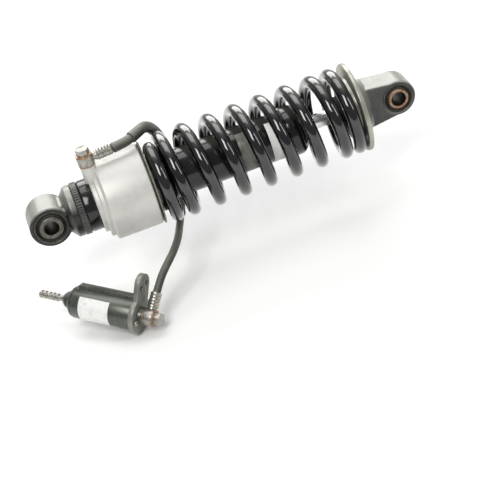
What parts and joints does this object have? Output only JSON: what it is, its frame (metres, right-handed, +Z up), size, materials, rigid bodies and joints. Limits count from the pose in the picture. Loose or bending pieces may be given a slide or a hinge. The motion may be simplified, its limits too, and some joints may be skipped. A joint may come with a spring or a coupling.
{
  "type": "rear shock absorber",
  "caption": "Motorcycle rear coil-over shock absorber with bushed eyes, hydraulic spring preload cylinder, hose and remote preload adjuster.",
  "frame": {"origin": "centre of the body eye's bore", "axes": "+X along the damper to the rod eye, +Y along both eye bores, +Z up on the side of the hose's upper banjo"},
  "size_m": [0.381, 0.1619, 0.1456],
  "materials": {
    "black_casting": "semi-gloss black paint on cast alloy",
    "black_tube": "semi-gloss black",
    "knurled_black": "black oxide, worn on the knurls",
    "spring_paint": "gloss black powder coat",
    "silver_alloy": "fine-blasted and clear anodised",
    "retainer_alloy": "machined, tarnished",
    "bush_shell_steel": "dull steel",
    "bush_sleeve_steel": "oiled steel with light rust",
    "zinc_steel": "zinc-plated, stained",
    "inner_steel": "plain ground steel",
    "rod_chrome": "hard chrome, polished",
    "inner_alloy": "turned alloy",
    "bush_bronze": "bronze-backed bearing strip",
    "copper_washer": "annealed copper",
    "rubber": "matt",
    "seal_rubber": "matt",
    "hose_rubber": "satin, dusty",
    "sleeve_rubber": "satin, dusty",
    "isolator_nylon": "greased nylon",
    "label_white": "printed film, blank",
    "label_grey": "worn film, blank",
    "adjuster_black": "satin black anodised",
    "bracket_grey": "satin dark grey paint, scuffed"
  },
  "bodies": {
    "damper_body": {"body_eye_casting": "black_casting", "body_bush_shell": "bush_shell_steel", "body_bush_rubber": "rubber", "damper_tube": "black_tube", "gas_fill_plug": "zinc_steel", "knurled_lock_ring": "knurled_black", "preload_stop_ring": "black_tube", "rod_guide": "inner_alloy", "rod_guide_bush": "bush_bronze", "rod_guide_ring": "seal_rubber", "rod_seal": "seal_rubber", "rod_guide_circlip": "inner_steel", "tube_end_cap": "black_tube", "rod_wiper": "seal_rubber", "data_label": "label_white", "inspection_label": "label_grey", "preload_cylinder": "silver_alloy", "preload_cylinder_seal": "seal_rubber", "bleed_screw": "zinc_steel", "preload_hose": "hose_rubber", "hose_sleeve": "sleeve_rubber", "upper_banjo": "zinc_steel", "upper_banjo_bolt": "zinc_steel", "upper_banjo_washers": "copper_washer", "upper_hose_crimp": "zinc_steel", "lower_hose_crimp": "zinc_steel", "lower_banjo": "zinc_steel", "lower_banjo_bolt": "zinc_steel", "lower_banjo_washers": "copper_washer", "adjuster_housing": "adjuster_black", "adjuster_bracket": "bracket_grey", "bracket_screws": "zinc_steel", "adjuster_cap": "adjuster_black", "adjuster_gland_nut": "adjuster_black", "adjuster_label": "label_white"},
    "body_sleeve": {"body_bush_sleeve": "bush_sleeve_steel"},
    "preload_ring": {"preload_piston": "retainer_alloy", "preload_piston_seals": "seal_rubber", "spring_isolator": "isolator_nylon", "spring_guide": "black_tube", "coil_spring": "spring_paint"},
    "rod_carriage": {"spring_retainer": "retainer_alloy"},
    "rod": {"piston_rod": "rod_chrome", "damper_piston": "inner_alloy", "piston_band": "bush_bronze", "rebound_shims": "inner_steel", "compression_shims": "inner_steel", "piston_nut": "zinc_steel", "topout_bumper": "rubber", "bump_stop": "rubber", "rod_eye_casting": "black_casting", "rod_bush_shell": "bush_shell_steel", "rod_bush_rubber": "rubber"},
    "rod_sleeve": {"rod_bush_sleeve": "bush_sleeve_steel"},
    "gas_piston": {"floating_piston": "inner_alloy", "floating_piston_ring": "seal_rubber"},
    "adjuster_drive": {"adjuster_screw": "zinc_steel"},
    "adjuster_plunger": {"adjuster_piston": "inner_alloy", "adjuster_piston_ring": "seal_rubber"}
  },
  "joints": [
    {"name": "body_bush_twist", "type": "hinge", "parent": "damper_body", "child": "body_sleeve", "pos_m": [0, 0, 0], "axis": [0, 1, 0], "range_deg": [-20, 20], "stiffness_Nm_per_rad": 20},
    {"name": "preload_slide", "type": "slide", "parent": "damper_body", "child": "preload_ring", "axis": [1, 0, 0], "range_m": [0, 0.005]},
    {"name": "shock_stroke", "type": "slide", "parent": "preload_ring", "child": "rod_carriage", "axis": [-1, 0, 0], "range_m": [0, 0.038], "stiffness_N_per_m": 85000, "springref_m": -0.005, "deforming": ["coil_spring", "bump_stop"]},
    {"name": "rod_turn", "type": "hinge", "parent": "rod_carriage", "child": "rod", "pos_m": [0.332, 0, 0], "axis": [1, 0, 0], "continuous": true},
    {"name": "rod_bush_twist", "type": "hinge", "parent": "rod", "child": "rod_sleeve", "pos_m": [0.332, 0, 0], "axis": [0, 1, 0], "range_deg": [-20, 20], "stiffness_Nm_per_rad": 20},
    {"name": "gas_piston_slide", "type": "slide", "parent": "damper_body", "child": "gas_piston", "axis": [-1, 0, 0], "range_m": [0, 0.0058]},
    {"name": "adjuster_turn", "type": "hinge", "parent": "damper_body", "child": "adjuster_drive", "pos_m": [-0.0033, -0.046, -0.0607], "axis": [0.7404, -0.6551, -0.1504], "range_deg": [0, 2170]},
    {"name": "adjuster_piston_slide", "type": "slide", "parent": "damper_body", "child": "adjuster_plunger", "axis": [0.7404, -0.6551, -0.1504], "range_m": [0, 0.0241]}
  ],
  "couplings": [
    {"joint": "gas_piston_slide", "follows": "shock_stroke", "ratio": 0.1512},
    {"joint": "adjuster_turn", "follows": "preload_slide", "rad_per_m": 7567.6},
    {"joint": "adjuster_piston_slide", "follows": "preload_slide", "ratio": 4.8177}
  ]
}
